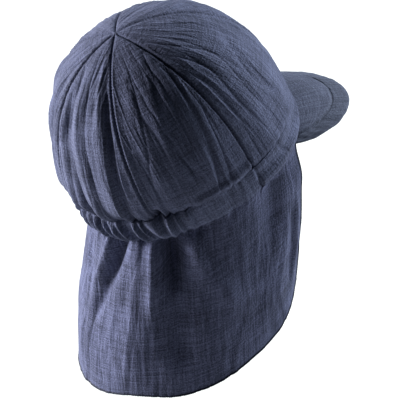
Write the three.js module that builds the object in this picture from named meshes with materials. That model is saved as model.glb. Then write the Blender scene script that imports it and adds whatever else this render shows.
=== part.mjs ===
// Child's legionnaire cap in crinkled cotton muslin: a crown of six gores, a smooth front band,
// a gathered elastic casing at the back, a soft peak and a long neck flap with a rolled hem.
// Millimetres, +Z up. The cap is posed as worn by a head that looks up, with its flap hanging straight.
// The front is towards -Y and the wearer's left towards +X; the origin is the centre of the head opening.
import * as THREE from 'three';

// Head opening, in its own plane
const RIM_FRONT = 88; // centre of the opening to the front of the rim
const RIM_BACK = 88; // centre of the opening to the back of the crown's foot, before it is gathered
const RIM_SIDE = 76.4; // centre of the opening to either side
const CROWN_TILT = 24.5; // degrees that the opening leans back, front edge up
const CORNER_PUSH = 4; // how far the front corners of the rim stand out from an ellipse

// Crown
const CROWN_HEIGHT = 126.8; // plane of the opening to the top of the crown
const APEX_SETBACK = 1.6; // how far the top lies behind the centre of the opening
const CLOTH = 1.4; // two layers of muslin and the air between them
const SEAM_GAP = 0.36; // clearance between pieces that are sewn together
const APEX_RADIUS = 1.6; // small round left open where the six points meet
const SEAM_FRONT = 71; // degrees from the front to the seam before the ear
const SEAM_BACK = 123; // degrees from the front to the seam behind the ear
const PLAN_ROUNDNESS = 1.826; // exponent of the crown's plan as it closes towards the top
const WALL_STEEPNESS = 2.668; // exponent of the crown's height: above 2 the walls stand steeper
const FULL_FRONT = 0.045; // extra reach of the shoulder, as a share of the rim, at the front
const FULL_BACK = -0.025; // the same at the back
const FULL_SIDE = 0.092; // the same over the ears
const GORE_PUFF = 0.8; // how far the middle of each gore stands out from its seams
const SEAM_SINK = 0.8; // depth of the groove along each seam
const SEAM_GROOVE = 4; // half width of that groove
const BACK_BALLOON = 2.4; // how far the gathered back balloons out just above its casing
const BALLOON_LEVEL = 38; // height of the middle of that bulge
const BALLOON_REACH = 26; // how far it spreads up and down
const FOLD_RISE = 2.6; // height of the strongest lengthwise fold of the crown

// Bands round the head opening
const BAND_HEIGHT = 20;
const BAND_WALL = 2.4; // front band, cloth over its turnings
const BAND_PROUD = 0.6; // how far the front band stands out from the crown
const CASING_WALL = 3; // gathered casing at the back
const CASING_PROUD = 0.7;
const CASING_BULGE = 1.1; // how far the casing swells at half its height
const CASING_DRAW = 6.5; // how far the elastic draws the back of the rim in
const DRAW_REACH = 36; // height over which the gathered crown widens again
const PLEAT_COUNT = 24; // pleats of the casing between the two front seams
const PLEAT_RISE = 1.1;
const PLEAT_SLANT = 0.42; // share of a pleat's spacing that it leans forward from the top to the rim
const GATHER_START = 92; // degrees from the front at which the gathers begin
const GATHER_FULL = 112; // degrees from the front at which they have their full depth

// Peak
const PEAK_LENGTH = 41.5; // rim to the tip, along the peak
const PEAK_ANGLE = 40.5; // degrees from the front to each corner of the peak
const PEAK_DROOP = 31; // degrees that the peak slopes below the plane of the opening, at its middle
const PEAK_CURL = 8; // degrees more at its corners
const PEAK_WALL = 3.2;
const PEAK_EDGE_WALL = 2; // thinner border outside the stitched line
const PEAK_BORDER = 11; // width of that border
const PEAK_STEP = 1.5; // width of the step down at the stitched line
const PEAK_FAN = 0.37; // 1: the peak spreads square to the rim, 0: it points straight ahead
const PEAK_ARCH = 2.5; // how far the middle of the peak bows up along its length
const PEAK_BLUNTNESS = 1.95; // exponents of the peak's outline
const PEAK_SHOULDER = 1.25;

// Neck flap
const FLAP_LENGTH = 143; // rim to hem
const FLAP_CORNER = 38; // radius of its two lower corners
const FLAP_SPREAD = 12; // how much further forward each front edge reaches at the hem
const FLAP_INSET = 0.5; // how far the flap hangs inside the face of the band
const FLAP_FOLD = 4.2; // height of the strongest fold of the flap
const FLARE_BACK = 12; // how far the hem stands out behind
const FLARE_FRONT = 3; // how far the front edges stand out
const FOLD_START = 9; // drop over which the folds grow out of the straight sewn edge
const HEM_WIDTH = 2.4; // rolled and overlocked edge
const HEM_WALL = 2.3;

// Fineness of the faceted solids
const GORE_ROWS = 13;
const FRONT_COLUMNS = 10;
const SIDE_COLUMNS = 12;
const BACK_COLUMNS = 16;
const BAND_COLUMNS = 24;
const BAND_ROWS = 2;
const CASING_ROWS = 3;
const PLEAT_COLUMNS = 4; // columns of one pleat
const PEAK_COLUMNS = 24;
const FLAP_COLUMNS = 60;
const FLAP_STRAIGHT_ROWS = 8;
const FLAP_CORNER_ROWS = 6;
const TOP_CROWDING = 1.4; // above 1 the rows lie closer under the band
const HEM_SIDES = 6;

const MUSLIN = { color: 0x4f536f, roughness: 0.95, metalness: 0 };
const HEM_THREAD = { color: 0x232a47, roughness: 0.85, metalness: 0 };

const FULL_TURN = 360;
const MIDDLE_BACK = FULL_TURN / 2;
const STEP = 1e-3; // parameter step for slopes
const FOLD_FADE = 0.12; // share of a piece's length over which a fold starts or ends
const MEAN_RIM = (RIM_FRONT + RIM_BACK + 2 * RIM_SIDE) / 4; // mean radius of the opening

// Lengthwise folds of the crown on the wearer's right; the left mirrors them.
// foot, head: degrees from the front at the casing and near the top; rise: share of FOLD_RISE, below 0
// for a valley; breadth: degrees; low, high: shares of the crown's height where the fold fades.
const CROWN_FOLDS = [
  { foot: 171, head: 176, rise: 0.5, breadth: 4.5, low: 0.0, high: 0.8 },
  { foot: 161, head: 167, rise: -0.7, breadth: 4, low: 0.0, high: 0.8 },
  { foot: 153, head: 158, rise: 0.35, breadth: 3.5, low: 0.1, high: 0.8 },
  { foot: 146, head: 150, rise: 0.4, breadth: 3, low: 0.1, high: 0.9 },
  { foot: 140, head: 137, rise: 0.6, breadth: 3.2, low: 0.0, high: 0.95 },
  { foot: 135, head: 127, rise: -1.2, breadth: 3.4, low: 0.0, high: 0.9 },
  { foot: 118, head: 112, rise: -0.6, breadth: 4.5, low: 0.0, high: 0.6 },
  { foot: 112, head: 107, rise: 0.3, breadth: 4, low: 0.1, high: 0.85 },
  { foot: 101, head: 97, rise: 0.4, breadth: 4, low: 0.1, high: 0.8 },
  { foot: 92, head: 86, rise: 0.4, breadth: 4, low: 0.1, high: 0.8 },
  { foot: 82, head: 79, rise: 0.35, breadth: 3, low: 0.1, high: 0.8 },
  { foot: 58, head: 50, rise: 0.3, breadth: 6, low: 0.2, high: 0.8 },
  { foot: 36, head: 30, rise: 0.3, breadth: 7, low: 0.2, high: 0.8 },
];

// Folds of the hanging flap on the wearer's right, mirrored on the left.
// top, hem: degrees from the front at the rim and at the hem; rise: share of FLAP_FOLD;
// breadth: degrees; low, high: shares of the flap's length where the fold starts and ends.
const FLAP_FOLDS = [
  { top: 165, hem: 180, rise: 0.6, breadth: 5, low: 0.0, high: 0.8 },
  { top: 154, hem: 146, rise: -1.2, breadth: 6, low: 0.0, high: 0.42 },
  { top: 150, hem: 146, rise: -0.8, breadth: 10, low: 0.35, high: 1.2 },
  { top: 131, hem: 132, rise: 0.75, breadth: 6, low: 0.0, high: 1.0 },
  { top: 122, hem: 117, rise: -0.8, breadth: 9, low: 0.0, high: 0.8 },
  { top: 105, hem: 84, rise: 0.8, breadth: 9, low: 0.05, high: 1.0 },
  { top: 86, hem: 66, rise: -0.35, breadth: 9, low: 0.1, high: 1.1 },
  { top: 52, hem: 44, rise: -0.3, breadth: 6, low: 0.3, high: 1.2 },
];

const rad = THREE.MathUtils.degToRad;
const mix = THREE.MathUtils.lerp;
const smooth = THREE.MathUtils.smoothstep;

// 1 at the back of the head, 0 at the front
function backness(angle) {
  return (1 - Math.cos(rad(angle))) / 2;
}

// Degrees from the front, 0 to 180, the same on both sides of the head
function sideAngle(angle) {
  const turned = ((angle % FULL_TURN) + FULL_TURN) % FULL_TURN;
  return Math.min(turned, FULL_TURN - turned);
}

// A rounded ridge, 1 on its line and 0 well beside it
function ridge(distance, breadth) {
  return Math.exp(-((distance / breadth) ** 2));
}

// 0 outside a fold's stretch, 1 inside it, with soft ends
function stretch(share, low, high) {
  const begun = smooth(share, low - FOLD_FADE, low + FOLD_FADE);
  return begun * (1 - smooth(share, high - FOLD_FADE, high + FOLD_FADE));
}

// Turns a point of the crown, given square to the head opening, into the worn position
function worn(point) {
  return point.applyAxisAngle(new THREE.Vector3(1, 0, 0), -rad(CROWN_TILT));
}

// Outward direction in the plane of the opening
function outward(angle) {
  const length = mix(RIM_FRONT, RIM_BACK, backness(angle));
  return new THREE.Vector3(-Math.sin(rad(angle)) / RIM_SIDE, -Math.cos(rad(angle)) / length, 0).normalize();
}

function climbAt(height) {
  return Math.asin(Math.min(1, height / CROWN_HEIGHT) ** (WALL_STEEPNESS / 2));
}

// Smooth form of the crown before gathers: angle round the opening, climb 0 at the rim and 90 at the top
function crownForm(angle, climb) {
  const back = backness(angle);
  const sideways = Math.sin(rad(angle)) ** 2;
  const fullness = mix(FULL_FRONT, FULL_BACK, back) + FULL_SIDE * sideways;
  const reach = Math.cos(climb) ** (2 / PLAN_ROUNDNESS) * (1 + fullness * Math.sin(2 * climb));
  const height = CROWN_HEIGHT * Math.max(0, Math.sin(climb)) ** (2 / WALL_STEEPNESS);
  const length = mix(RIM_FRONT, RIM_BACK, back);
  const share = height / CROWN_HEIGHT;
  const corner = CORNER_PUSH * Math.max(0, Math.sin(rad(2 * sideAngle(angle)))) ** 2 * (1 - share) ** 2;
  const drawn = CASING_DRAW * back ** 2 * (1 - smooth(height, 0, DRAW_REACH));
  const balloon = BACK_BALLOON * back ** 2 * ridge(height - BALLOON_LEVEL, BALLOON_REACH);
  const push = corner * (1 - back) - drawn + balloon;
  return new THREE.Vector3(
    -RIM_SIDE * Math.sin(rad(angle)) * reach,
    -length * Math.cos(rad(angle)) * reach + APEX_SETBACK * share,
    height,
  ).addScaledVector(outward(angle), push);
}

// Outward direction of that form; it lies in the plane of the opening at the foot
function crownNormal(angle, climb) {
  const lower = Math.max(STEP, climb - STEP);
  const round = crownForm(angle + 1, climb).sub(crownForm(angle - 1, climb));
  const rise = crownForm(angle, climb + STEP).sub(crownForm(angle, lower));
  const normal = rise.cross(round).normalize();
  normal.z *= smooth(crownForm(angle, climb).z, BAND_HEIGHT, 2 * BAND_HEIGHT);
  return normal.normalize();
}

// Folds, puffed gores and sunk seams, as a height over the smooth form
function crownRelief(angle, share) {
  const side = sideAngle(angle);
  let height = 0;
  for (const fold of CROWN_FOLDS) {
    const line = mix(fold.foot, fold.head, share);
    height += fold.rise * FOLD_RISE * ridge(side - line, fold.breadth) * stretch(share, fold.low, fold.high);
  }
  const edges = [0, SEAM_FRONT, SEAM_BACK, MIDDLE_BACK];
  const radius = MEAN_RIM * Math.sqrt(Math.max(0, 1 - share ** 2));
  for (let i = 0; i < 3; i += 1) {
    const across = (side - edges[i]) / (edges[i + 1] - edges[i]);
    const puff = GORE_PUFF * Math.sin(Math.PI * across) * smooth(radius, 0, MEAN_RIM);
    if (across >= 0 && across <= 1) height += puff;
  }
  for (const edge of edges) height -= SEAM_SINK * ridge(rad(side - edge) * radius, SEAM_GROOVE);
  return height * smooth(radius, 0, MEAN_RIM / 2);
}

// Point of the crown at a depth below its outer face
function crownPoint(angle, climb, depth) {
  const point = crownForm(angle, climb);
  const relief = crownRelief(angle, point.z / CROWN_HEIGHT);
  return worn(point.addScaledVector(crownNormal(angle, climb), relief - depth));
}

// Closed solid round a grid of points: face(column, row, side) gives the outer (0) and inner (1) face
function sheetSolid(name, columns, rows, face, look) {
  const positions = [];
  const stride = columns + 1;
  const layer = stride * (rows + 1);
  for (const side of [0, 1]) {
    for (let row = 0; row <= rows; row += 1) {
      for (let column = 0; column <= columns; column += 1) {
        positions.push(...face(column / columns, row, side).toArray());
      }
    }
  }
  const indices = [];
  const quad = (a, b, c, d) => indices.push(a, b, c, a, c, d);
  const at = (column, row, side) => side * layer + row * stride + column;
  for (let row = 0; row < rows; row += 1) {
    for (let column = 0; column < columns; column += 1) {
      quad(at(column, row, 0), at(column + 1, row, 0), at(column + 1, row + 1, 0), at(column, row + 1, 0));
      quad(at(column, row, 1), at(column, row + 1, 1), at(column + 1, row + 1, 1), at(column + 1, row, 1));
    }
  }
  for (let column = 0; column < columns; column += 1) {
    quad(at(column, 0, 1), at(column + 1, 0, 1), at(column + 1, 0, 0), at(column, 0, 0));
    quad(at(column, rows, 0), at(column + 1, rows, 0), at(column + 1, rows, 1), at(column, rows, 1));
  }
  for (let row = 0; row < rows; row += 1) {
    quad(at(0, row, 0), at(0, row + 1, 0), at(0, row + 1, 1), at(0, row, 1));
    quad(at(columns, row, 1), at(columns, row + 1, 1), at(columns, row + 1, 0), at(columns, row, 0));
  }
  return solid(name, positions, indices, look);
}

function solid(name, positions, indices, look) {
  const geometry = new THREE.BufferGeometry();
  geometry.setAttribute('position', new THREE.Float32BufferAttribute(positions, 3));
  geometry.setIndex(signedVolume(positions, indices) < 0 ? indices.reverse() : indices);
  geometry.computeVertexNormals();
  const mesh = new THREE.Mesh(geometry, new THREE.MeshStandardMaterial(look));
  mesh.name = name;
  return mesh;
}

function signedVolume(positions, indices) {
  const corner = (index) => new THREE.Vector3().fromArray(positions, 3 * index);
  let volume = 0;
  for (let i = 0; i < indices.length; i += 3) {
    volume += corner(indices[i]).dot(corner(indices[i + 1]).cross(corner(indices[i + 2]))) / 6;
  }
  return volume;
}

// One gore between two seams, from the bands up to the small round at the top
function gore(name, from, to, columns) {
  const foot = climbAt(BAND_HEIGHT + SEAM_GAP);
  const top = Math.acos((APEX_RADIUS / MEAN_RIM) ** (PLAN_ROUNDNESS / 2));
  const face = (across, row, side) => {
    const climb = mix(foot, top, row / GORE_ROWS);
    const form = crownForm(from, climb);
    const margin = THREE.MathUtils.radToDeg(SEAM_GAP / 2 / Math.hypot(form.x, form.y - APEX_SETBACK));
    return crownPoint(mix(from + margin, to - margin, across), climb, side * CLOTH);
  };
  return sheetSolid(name, columns, GORE_ROWS, face, MUSLIN);
}

// Smooth band over the forehead, between the two front seams
function frontBand() {
  const margin = THREE.MathUtils.radToDeg(SEAM_GAP / 2 / RIM_SIDE);
  const face = (across, row, side) => {
    const height = BAND_HEIGHT * (row / BAND_ROWS);
    const angle = mix(margin - SEAM_FRONT, SEAM_FRONT - margin, across);
    const point = crownForm(angle, climbAt(height));
    point.addScaledVector(outward(angle), BAND_PROUD - side * BAND_WALL);
    return worn(point);
  };
  return sheetSolid('front_band', BAND_COLUMNS, BAND_ROWS, face, MUSLIN);
}

// Gathered casing with the elastic in it, round the back between the same seams
function backBand() {
  const margin = THREE.MathUtils.radToDeg(SEAM_GAP / 2 / RIM_SIDE);
  const face = (across, row, side) => {
    const share = row / CASING_ROWS;
    const angle = mix(SEAM_FRONT + margin, FULL_TURN - SEAM_FRONT - margin, across);
    const gathered = smooth(sideAngle(angle), GATHER_START, GATHER_FULL);
    const mirrored = across < 0.5 ? across : 1 - across;
    const pleat = Math.cos(2 * Math.PI * (PLEAT_COUNT * mirrored - PLEAT_SLANT * share));
    const swell = CASING_BULGE * gathered * Math.sin(Math.PI * share);
    const outerFace = CASING_PROUD + swell + PLEAT_RISE * gathered * pleat;
    const point = crownForm(angle, climbAt(BAND_HEIGHT * share));
    point.addScaledVector(outward(angle), side ? CASING_PROUD - CASING_WALL : outerFace);
    return worn(point);
  };
  return sheetSolid('back_band', PLEAT_COLUMNS * PLEAT_COUNT, CASING_ROWS, face, MUSLIN);
}

// Soft peak under the front band: thick where its board lies, thinner in the border outside the stitches
function peak() {
  const inner = 1 - PEAK_BORDER / PEAK_LENGTH;
  const border = inner + PEAK_STEP / PEAK_LENGTH;
  const raisedRows = [0, inner / 3, (2 * inner) / 3, inner];
  const rows = [...raisedRows, border, (border + 1) / 2, 1];
  const face = (across, row, side) => {
    const sideways = 2 * across - 1;
    const angle = PEAK_ANGLE * sideways;
    const length = PEAK_LENGTH * (1 - Math.abs(sideways) ** PEAK_BLUNTNESS) ** (1 / PEAK_SHOULDER);
    const share = rows[row];
    const wall = row < raisedRows.length ? PEAK_WALL : PEAK_EDGE_WALL;
    const sunk = (PEAK_WALL - wall) / 2;
    const run = share * length;
    const fan = outward(angle).lerp(new THREE.Vector3(0, -1, 0), 1 - PEAK_FAN).normalize();
    const slope = rad(PEAK_DROOP + PEAK_CURL * sideways ** 2);
    const point = crownForm(angle, 0).addScaledVector(outward(angle), BAND_PROUD);
    point.addScaledVector(fan, run * Math.cos(slope));
    point.z -= SEAM_GAP + run * Math.sin(slope);
    point.z += PEAK_ARCH * Math.sin(Math.PI * share) * (length / PEAK_LENGTH);
    point.z -= side ? sunk + wall : sunk;
    return worn(point);
  };
  return sheetSolid('peak', PEAK_COLUMNS, rows.length - 1, face, MUSLIN);
}

// Half the flap's width along the rim, from the middle of the back to a front edge
function flapHalfWidth() {
  return rad(MIDDLE_BACK - PEAK_ANGLE) * MEAN_RIM - SEAM_GAP;
}

// Point of the hanging flap: run along the rim from the middle of the back (wearer's right first),
// drop below the rim, and depth behind the outer face
function flapPoint(run, drop, depth) {
  const fallen = drop / FLAP_LENGTH;
  const spread = 1 + (FLAP_SPREAD / flapHalfWidth()) * fallen;
  const angle = MIDDLE_BACK - THREE.MathUtils.radToDeg((run * spread) / MEAN_RIM);
  const side = sideAngle(angle);
  const back = backness(angle);
  let relief = 0;
  for (const fold of FLAP_FOLDS) {
    const line = mix(fold.top, fold.hem, fallen);
    relief += fold.rise * FLAP_FOLD * ridge(side - line, fold.breadth) * stretch(fallen, fold.low, fold.high);
  }
  const free = smooth(drop, 0, FOLD_START);
  const frontEdge = 1 - smooth(side, PEAK_ANGLE, SEAM_FRONT);
  const flare = (FLARE_BACK * back ** 2 + FLARE_FRONT * frontEdge) * smooth(fallen, 0, 0.9);
  const out = outward(angle);
  const point = crownForm(angle, 0).addScaledVector(out, BAND_PROUD - FLAP_INSET - depth);
  point.z -= SEAM_GAP;
  const level = new THREE.Vector3(out.x, out.y, 0).normalize();
  const hung = worn(point);
  hung.addScaledVector(level, relief * free + flare);
  hung.z -= drop;
  return hung;
}

// Outline of the flap, set in from its cut edge: rounded rectangle with rows that follow the corner
function flapGrid(inset) {
  const halfWidth = flapHalfWidth() - inset;
  const length = FLAP_LENGTH - inset;
  const corner = FLAP_CORNER - inset;
  const rows = [];
  for (let i = 0; i < FLAP_STRAIGHT_ROWS; i += 1) {
    rows.push({ drop: (length - corner) * (i / FLAP_STRAIGHT_ROWS) ** TOP_CROWDING, half: halfWidth });
  }
  for (let i = 0; i <= FLAP_CORNER_ROWS; i += 1) {
    const turn = (Math.PI / 2) * (i / FLAP_CORNER_ROWS);
    rows.push({
      drop: length - corner + corner * Math.sin(turn),
      half: halfWidth - corner + corner * Math.cos(turn),
    });
  }
  return rows;
}

function neckFlap() {
  const rows = flapGrid(HEM_WIDTH + SEAM_GAP);
  const face = (across, row, side) => {
    const run = mix(rows[row].half, -rows[row].half, across);
    return flapPoint(run, rows[row].drop, side * CLOTH);
  };
  return sheetSolid('neck_flap', FLAP_COLUMNS, rows.length - 1, face, MUSLIN);
}

// Rolled hem down both front edges and along the bottom of the flap
function flapHem() {
  const outer = flapGrid(0);
  const inner = flapGrid(HEM_WIDTH);
  const path = [];
  outer.forEach((row, i) => path.push([row.half, row.drop, inner[i].half, inner[i].drop]));
  const last = path[path.length - 1];
  for (let i = 1; i < FLAP_COLUMNS; i += 1) {
    const share = 1 - 2 * (i / FLAP_COLUMNS);
    path.push([last[0] * share, last[1], last[2] * share, last[3]]);
  }
  for (let i = outer.length - 1; i >= 0; i -= 1) {
    path.push([-outer[i].half, outer[i].drop, -inner[i].half, inner[i].drop]);
  }
  const positions = [];
  for (const [runOut, dropOut, runIn, dropIn] of path) {
    for (let k = 0; k < HEM_SIDES; k += 1) {
      const turn = (2 * Math.PI * k) / HEM_SIDES;
      const inward = 0.5 - 0.5 * Math.cos(turn);
      const depth = CLOTH / 2 - (HEM_WALL / 2) * Math.sin(turn);
      positions.push(...flapPoint(mix(runOut, runIn, inward), mix(dropOut, dropIn, inward), depth).toArray());
    }
  }
  const indices = [];
  for (let i = 0; i + 1 < path.length; i += 1) {
    for (let k = 0; k < HEM_SIDES; k += 1) {
      const a = i * HEM_SIDES + k;
      const b = i * HEM_SIDES + ((k + 1) % HEM_SIDES);
      indices.push(a, b, b + HEM_SIDES, a, b + HEM_SIDES, a + HEM_SIDES);
    }
  }
  const lastRing = (path.length - 1) * HEM_SIDES;
  for (let k = 1; k + 1 < HEM_SIDES; k += 1) {
    indices.push(0, k + 1, k, lastRing, lastRing + k, lastRing + k + 1);
  }
  return solid('flap_hem', positions, indices, HEM_THREAD);
}

const cap = new THREE.Group();
cap.add(gore('crown_front_right', 0, SEAM_FRONT, FRONT_COLUMNS));
cap.add(gore('crown_side_right', SEAM_FRONT, SEAM_BACK, SIDE_COLUMNS));
cap.add(gore('crown_back_right', SEAM_BACK, MIDDLE_BACK, BACK_COLUMNS));
cap.add(gore('crown_back_left', MIDDLE_BACK, FULL_TURN - SEAM_BACK, BACK_COLUMNS));
cap.add(gore('crown_side_left', FULL_TURN - SEAM_BACK, FULL_TURN - SEAM_FRONT, SIDE_COLUMNS));
cap.add(gore('crown_front_left', FULL_TURN - SEAM_FRONT, FULL_TURN, FRONT_COLUMNS));
cap.add(frontBand(), backBand(), peak(), neckFlap(), flapHem());

export default cap;
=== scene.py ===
"""Legionnaire cap in crinkled cotton muslin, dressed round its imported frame.

The file is laid out as a Blender add-on and run as a script. Lengths are in metres, angles run round
the head opening from the front towards the wearer's right, and the front is towards -Y.
"""

import math
from collections import namedtuple

import bpy
import numpy as np
from bpy.props import FloatProperty, FloatVectorProperty, IntProperty, PointerProperty
from bpy.types import Operator, Panel, PropertyGroup
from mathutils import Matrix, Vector


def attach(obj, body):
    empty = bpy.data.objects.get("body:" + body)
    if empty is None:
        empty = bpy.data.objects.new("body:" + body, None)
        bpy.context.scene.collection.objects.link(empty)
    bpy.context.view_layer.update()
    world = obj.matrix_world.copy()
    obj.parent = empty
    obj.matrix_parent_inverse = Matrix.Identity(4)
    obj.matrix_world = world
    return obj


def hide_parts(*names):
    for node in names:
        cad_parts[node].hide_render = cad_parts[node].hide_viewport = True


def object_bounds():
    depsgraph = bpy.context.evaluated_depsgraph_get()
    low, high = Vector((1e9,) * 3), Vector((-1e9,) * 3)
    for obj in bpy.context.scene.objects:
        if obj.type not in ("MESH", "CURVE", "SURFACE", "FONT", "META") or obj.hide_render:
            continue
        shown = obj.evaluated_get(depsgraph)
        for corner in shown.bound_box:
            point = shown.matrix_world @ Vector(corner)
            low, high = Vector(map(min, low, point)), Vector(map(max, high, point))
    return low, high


bl_info = {
    "name": "Legionnaire cap",
    "version": (1, 0, 0),
    "blender": (4, 5, 0),
    "location": "3D View > Sidebar > Cap",
    "description": "Makes a child's muslin cap with a peak and a neck flap, piece by piece",
    "category": "Add Mesh",
}

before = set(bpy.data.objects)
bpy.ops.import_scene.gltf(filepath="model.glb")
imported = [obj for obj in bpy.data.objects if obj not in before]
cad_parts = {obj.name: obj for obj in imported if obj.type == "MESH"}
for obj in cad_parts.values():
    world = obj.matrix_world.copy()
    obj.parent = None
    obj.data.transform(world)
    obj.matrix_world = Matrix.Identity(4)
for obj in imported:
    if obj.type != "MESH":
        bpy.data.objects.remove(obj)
CAD_BOX = [list(corner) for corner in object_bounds()]

BODY = "root"
HALF_TURN = math.pi
FULL_TURN = 2 * math.pi
MM = 0.001
CLOTH_UV = "Cloth"

# Share of the length over which a fold or a crease fades in and out
FOLD_FADE = 0.12
CREASE_FADE = 0.1

# A lengthwise fold: degrees from the front where it starts and ends, height as a share of the highest
# fold (below 0 for a valley), breadth in degrees, and the shares of the length where it fades in and out
Fold = namedtuple("Fold", "start end rise breadth low high")

CROWN_FOLDS = (
    Fold(165, 177, 0.6, 4.2, 0.0, 0.8),
    Fold(155, 170, -0.9, 3.6, 0.0, 0.85),
    Fold(147, 158, 0.6, 3.2, 0.0, 0.85),
    Fold(140, 134, 0.7, 3.0, 0.0, 0.95),
    Fold(135.5, 126, -0.7, 1.9, 0.0, 0.92),
    Fold(118, 112, -0.4, 4.5, 0.0, 0.6),
    Fold(112, 107, 0.3, 4.0, 0.1, 0.85),
    Fold(101, 97, 0.4, 4.0, 0.1, 0.8),
    Fold(92, 86, 0.4, 4.0, 0.1, 0.8),
    Fold(82, 79, 0.35, 3.0, 0.1, 0.8),
    Fold(58, 50, 0.3, 6.0, 0.2, 0.8),
    Fold(36, 30, 0.3, 7.0, 0.2, 0.8),
)

FLAP_FOLDS = (
    Fold(160, 200, 0.8, 3.8, -0.1, 0.36),
    Fold(168, 180, 0.4, 4.5, 0.35, 0.90),
    Fold(150.5, 191, -1.1, 5.2, -0.1, 0.30),
    Fold(150.5, 190, -1.1, 4.2, -0.1, 0.56),
    Fold(145, 166, 0.15, 3.2, -0.1, 0.70),
    Fold(138, 145, 0.8, 9.0, 0.05, 0.95),
    Fold(130, 132, 1.2, 3.4, -0.1, 0.46),
    Fold(127, 129, 0.9, 2.6, -0.2, 0.13),
    Fold(126, 103, -3.3, 5.4, -0.1, 0.31),
    Fold(119, 116, -1.6, 7.5, -0.2, 0.16),
    Fold(121, 114, -1.6, 7.5, 0.05, 0.80),
    Fold(115, 65, 0.9, 6.0, 0.03, 0.62),
    Fold(106, 82, -0.7, 5.5, -0.1, 0.35),
    Fold(64, 64, -0.9, 8.0, -0.1, 0.36),
    Fold(60, 62, 0.3, 9.0, 0.30, 0.80),
    Fold(45, 44, 0.35, 2.2, 0.30, 0.75),
    Fold(49, 48.5, -0.35, 1.8, 0.30, 0.75),
)

# A narrow crease with a sharp bottom or crest: degrees from the front where it starts, halfway and where it
# ends, height as a share of the sharpest crease, breadth in degrees, and where it fades in and out
Crease = namedtuple("Crease", "start middle end rise breadth low high")

CROWN_CREASES = (
    Crease(178, 174, 178, -0.5, 1.2, 0.30, 0.80),
    Crease(172, 165.5, 175, -0.8, 2.2, 0.10, 0.85),
    Crease(166, 160, 170, -0.6, 1.2, 0.30, 0.90),
    Crease(160, 161, 168, -0.8, 2.0, 0.15, 0.97),
    Crease(152, 151, 156, -0.5, 1.1, 0.30, 0.90),
    Crease(145, 147, 149, -1.3, 1.7, 0.15, 0.96),
    Crease(136.5, 130.2, 125.3, -0.9, 1.5, 0.05, 0.94),
    Crease(133.5, 128.2, 124.5, 0.6, 0.8, 0.10, 0.90),
    Crease(139, 135, 130, 0.5, 0.8, 0.15, 0.90),
    Crease(119, 118.5, 117, -0.5, 0.9, 0.15, 0.80),
    Crease(124, 112.5, 100.5, -0.9, 0.9, 0.45, 0.90),
    Crease(106, 105, 106, -0.6, 0.8, 0.45, 0.90),
    Crease(95, 96.6, 103, -1.0, 0.9, 0.35, 0.90),
    Crease(100, 93, 88, -0.6, 0.8, 0.50, 0.92),
    Crease(92, 90.5, 81, -1.0, 0.9, 0.45, 0.93),
    Crease(91, 86.5, 80, 0.6, 1.0, 0.12, 0.55),
    Crease(93, 83, 74, -1.0, 0.9, 0.12, 0.90),
    Crease(86, 82, 76, 0.6, 0.9, 0.12, 0.50),
    Crease(85, 78.5, 70, -0.8, 0.8, 0.15, 0.85),
    Crease(65, 65, 66, -0.6, 0.8, 0.15, 0.96),
    Crease(59, 60.5, 62, 0.6, 0.9, 0.10, 0.95),
    Crease(54, 55, 57, -0.5, 0.9, 0.20, 0.95),
    Crease(50, 50, 51, 0.6, 1.0, 0.20, 0.95),
    Crease(44, 44, 45, -0.6, 1.0, 0.20, 0.95),
    Crease(39, 37, 36, 0.5, 1.1, 0.20, 0.95),
    Crease(31, 29, 27, -0.6, 1.1, 0.20, 0.95),
    Crease(24, 21, 18, 0.5, 1.2, 0.20, 0.95),
    Crease(14, 11, 9, -0.5, 1.2, 0.20, 0.90),
)

FLAP_CREASES = (
    Crease(177, 177.5, 178, 0.5, 1.3, 0.05, 1.1),
    Crease(170, 172, 174, -0.6, 1.2, 0.30, 1.1),
    Crease(156, 163, 168, 0.6, 1.1, 0.30, 0.9),
    Crease(151, 155, 157, 0.5, 1.0, 0.35, 1.1),
    Crease(135, 150, 160, -0.6, 0.9, 0.05, 0.32),
    Crease(133.5, 139, 144.5, -0.5, 0.8, 0.35, 1.0),
    Crease(139, 143, 147, 0.5, 0.9, 0.30, 1.1),
    Crease(127, 127.5, 128, -0.8, 1.0, 0.30, 1.1),
    Crease(124, 124.5, 125, 0.4, 0.9, 0.35, 1.1),
    Crease(117, 120, 121, 0.4, 1.1, 0.45, 1.1),
    Crease(103, 105, 106, -0.4, 1.1, 0.50, 1.1),
    Crease(88, 91, 94, 0.5, 1.0, 0.45, 1.1),
    Crease(85, 88, 90, -0.4, 0.9, 0.50, 1.1),
    Crease(71, 73, 75, -0.5, 0.9, 0.20, 0.9),
    Crease(66, 68, 69, 0.4, 1.0, 0.30, 1.1),
    Crease(52, 52, 52, -0.4, 1.0, 0.15, 0.9),
)

# A pleat of the elastic casing: degrees from the front at the casing's upper stitches and at the rim,
# height as a share of the highest pleat, and breadth in degrees
Pleat = namedtuple("Pleat", "top rim rise breadth")

CASING_PLEATS = (
    Pleat(183, 178, 0.8, 2.4),
    Pleat(176, 170, 0.9, 1.9),
    Pleat(169.5, 163, 0.8, 2.3),
    Pleat(163, 156, 1.0, 1.8),
    Pleat(157.5, 150, 0.7, 1.5),
    Pleat(151, 144, 1.0, 2.1),
    Pleat(146.5, 140.5, 0.7, 1.3),
    Pleat(136, 131.5, 1.0, 1.6),
    Pleat(132.5, 127.5, 0.6, 1.0),
    Pleat(127, 122, 0.8, 2.8),
    Pleat(117.5, 118, 1.0, 1.4),
    Pleat(113.5, 113.5, 0.5, 1.0),
    Pleat(108.5, 107.5, 0.3, 1.5),
    Pleat(101.5, 101, 0.2, 1.4),
)

# Exponent that rounds the pleats' tops, and the height about which they swell and sink
PLEAT_ROUNDNESS = 0.6
PLEAT_MIDDLE = 0.6

# Degrees from the front of the tucks where the casing's upper stitches are pulled deep in
TUCKS = (120.5, 139.5, 158.5, 173)
TUCK_BREADTH = 1.7


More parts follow.
